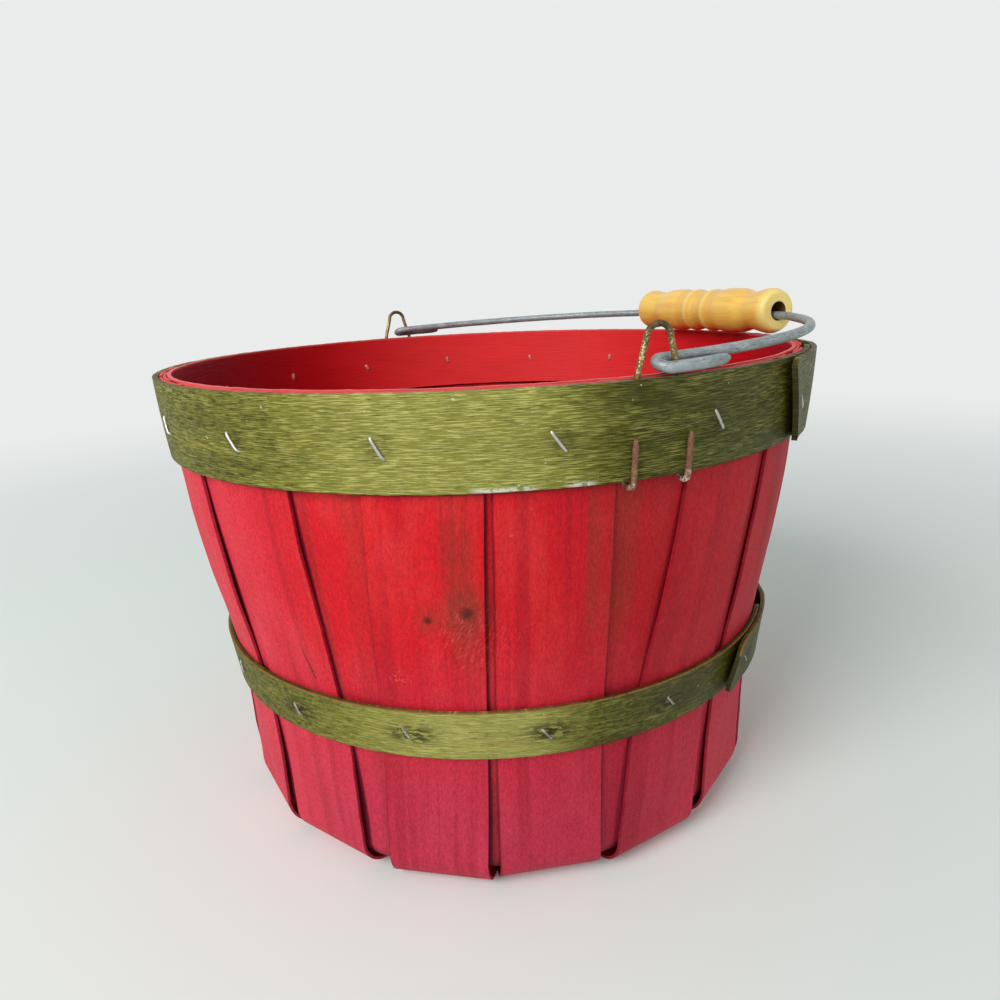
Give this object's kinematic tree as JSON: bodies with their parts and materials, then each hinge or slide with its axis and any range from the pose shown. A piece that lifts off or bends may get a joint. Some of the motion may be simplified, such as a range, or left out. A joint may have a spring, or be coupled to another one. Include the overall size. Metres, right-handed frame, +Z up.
{
  "type": "splint basket with wire bail",
  "caption": "Round half-peck splint basket of crossed veneer strips and bent hoops, with wire ears and a swinging bail that carries a turned wooden grip.",
  "frame": {"origin": "middle of the underside, on the surface the basket stands on", "axes": "+Z up out of the mouth, +X towards the folded bail, the two wire ears at -Y and +Y"},
  "size_m": [0.2285, 0.2328, 0.1765],
  "materials": {
    "stained_stave": "red stained veneer, satin",
    "stained_lining": "red stained veneer, satin",
    "stained_band": "red stained veneer, satin",
    "olive_hoop": "olive green stained veneer, satin",
    "staple_steel": "bright steel wire",
    "ear_wire": "dulled bronze-coloured wire",
    "galvanised_wire": "dull galvanised wire",
    "turned_wood": "clear finished turned wood"
  },
  "bodies": {
    "basket": {"stave_strip_1": "stained_stave", "stave_strip_2": "stained_stave", "stave_strip_3": "stained_stave", "stave_strip_4": "stained_stave", "stave_strip_5": "stained_stave", "stave_strip_6": "stained_stave", "stave_strip_7": "stained_stave", "stave_strip_8": "stained_stave", "lining_strip_1": "stained_lining", "lining_strip_2": "stained_lining", "lining_strip_3": "stained_lining", "lining_strip_4": "stained_lining", "lining_strip_5": "stained_lining", "lining_strip_6": "stained_lining", "lining_strip_7": "stained_lining", "lining_strip_8": "stained_lining", "top_hoop": "olive_hoop", "lower_hoop": "olive_hoop", "rim_band": "stained_band", "top_staple_01": "staple_steel", "top_staple_02": "staple_steel", "top_staple_03": "staple_steel", "top_staple_04": "staple_steel", "top_staple_05": "staple_steel", "top_staple_06": "staple_steel", "top_staple_07": "staple_steel", "top_staple_08": "staple_steel", "top_staple_09": "staple_steel", "top_staple_10": "staple_steel", "top_staple_11": "staple_steel", "top_staple_12": "staple_steel", "top_staple_13": "staple_steel", "top_staple_14": "staple_steel", "top_staple_15": "staple_steel", "top_staple_16": "staple_steel", "lower_staple_01": "staple_steel", "lower_staple_02": "staple_steel", "lower_staple_03": "staple_steel", "lower_staple_04": "staple_steel", "lower_staple_05": "staple_steel", "lower_staple_06": "staple_steel", "lower_staple_07": "staple_steel", "lower_staple_08": "staple_steel", "lower_staple_09": "staple_steel", "lower_staple_10": "staple_steel", "lower_staple_11": "staple_steel", "lower_staple_12": "staple_steel", "lower_staple_13": "staple_steel", "lower_staple_14": "staple_steel", "lower_staple_15": "staple_steel", "lower_staple_16": "staple_steel", "front_ear": "ear_wire", "rear_ear": "ear_wire"},
    "bail": {"bail": "galvanised_wire"},
    "grip": {"grip": "turned_wood"}
  },
  "joints": [
    {"name": "bail_swing", "type": "hinge", "parent": "basket", "child": "bail", "pos_m": [0, 0, 0.1614], "axis": [0, -1, 0], "range_deg": [0, 172]},
    {"name": "grip_spin", "type": "hinge", "parent": "bail", "child": "grip", "pos_m": [0.10433, 0, 0.1678], "axis": [0, 1, 0], "continuous": true}
  ]
}
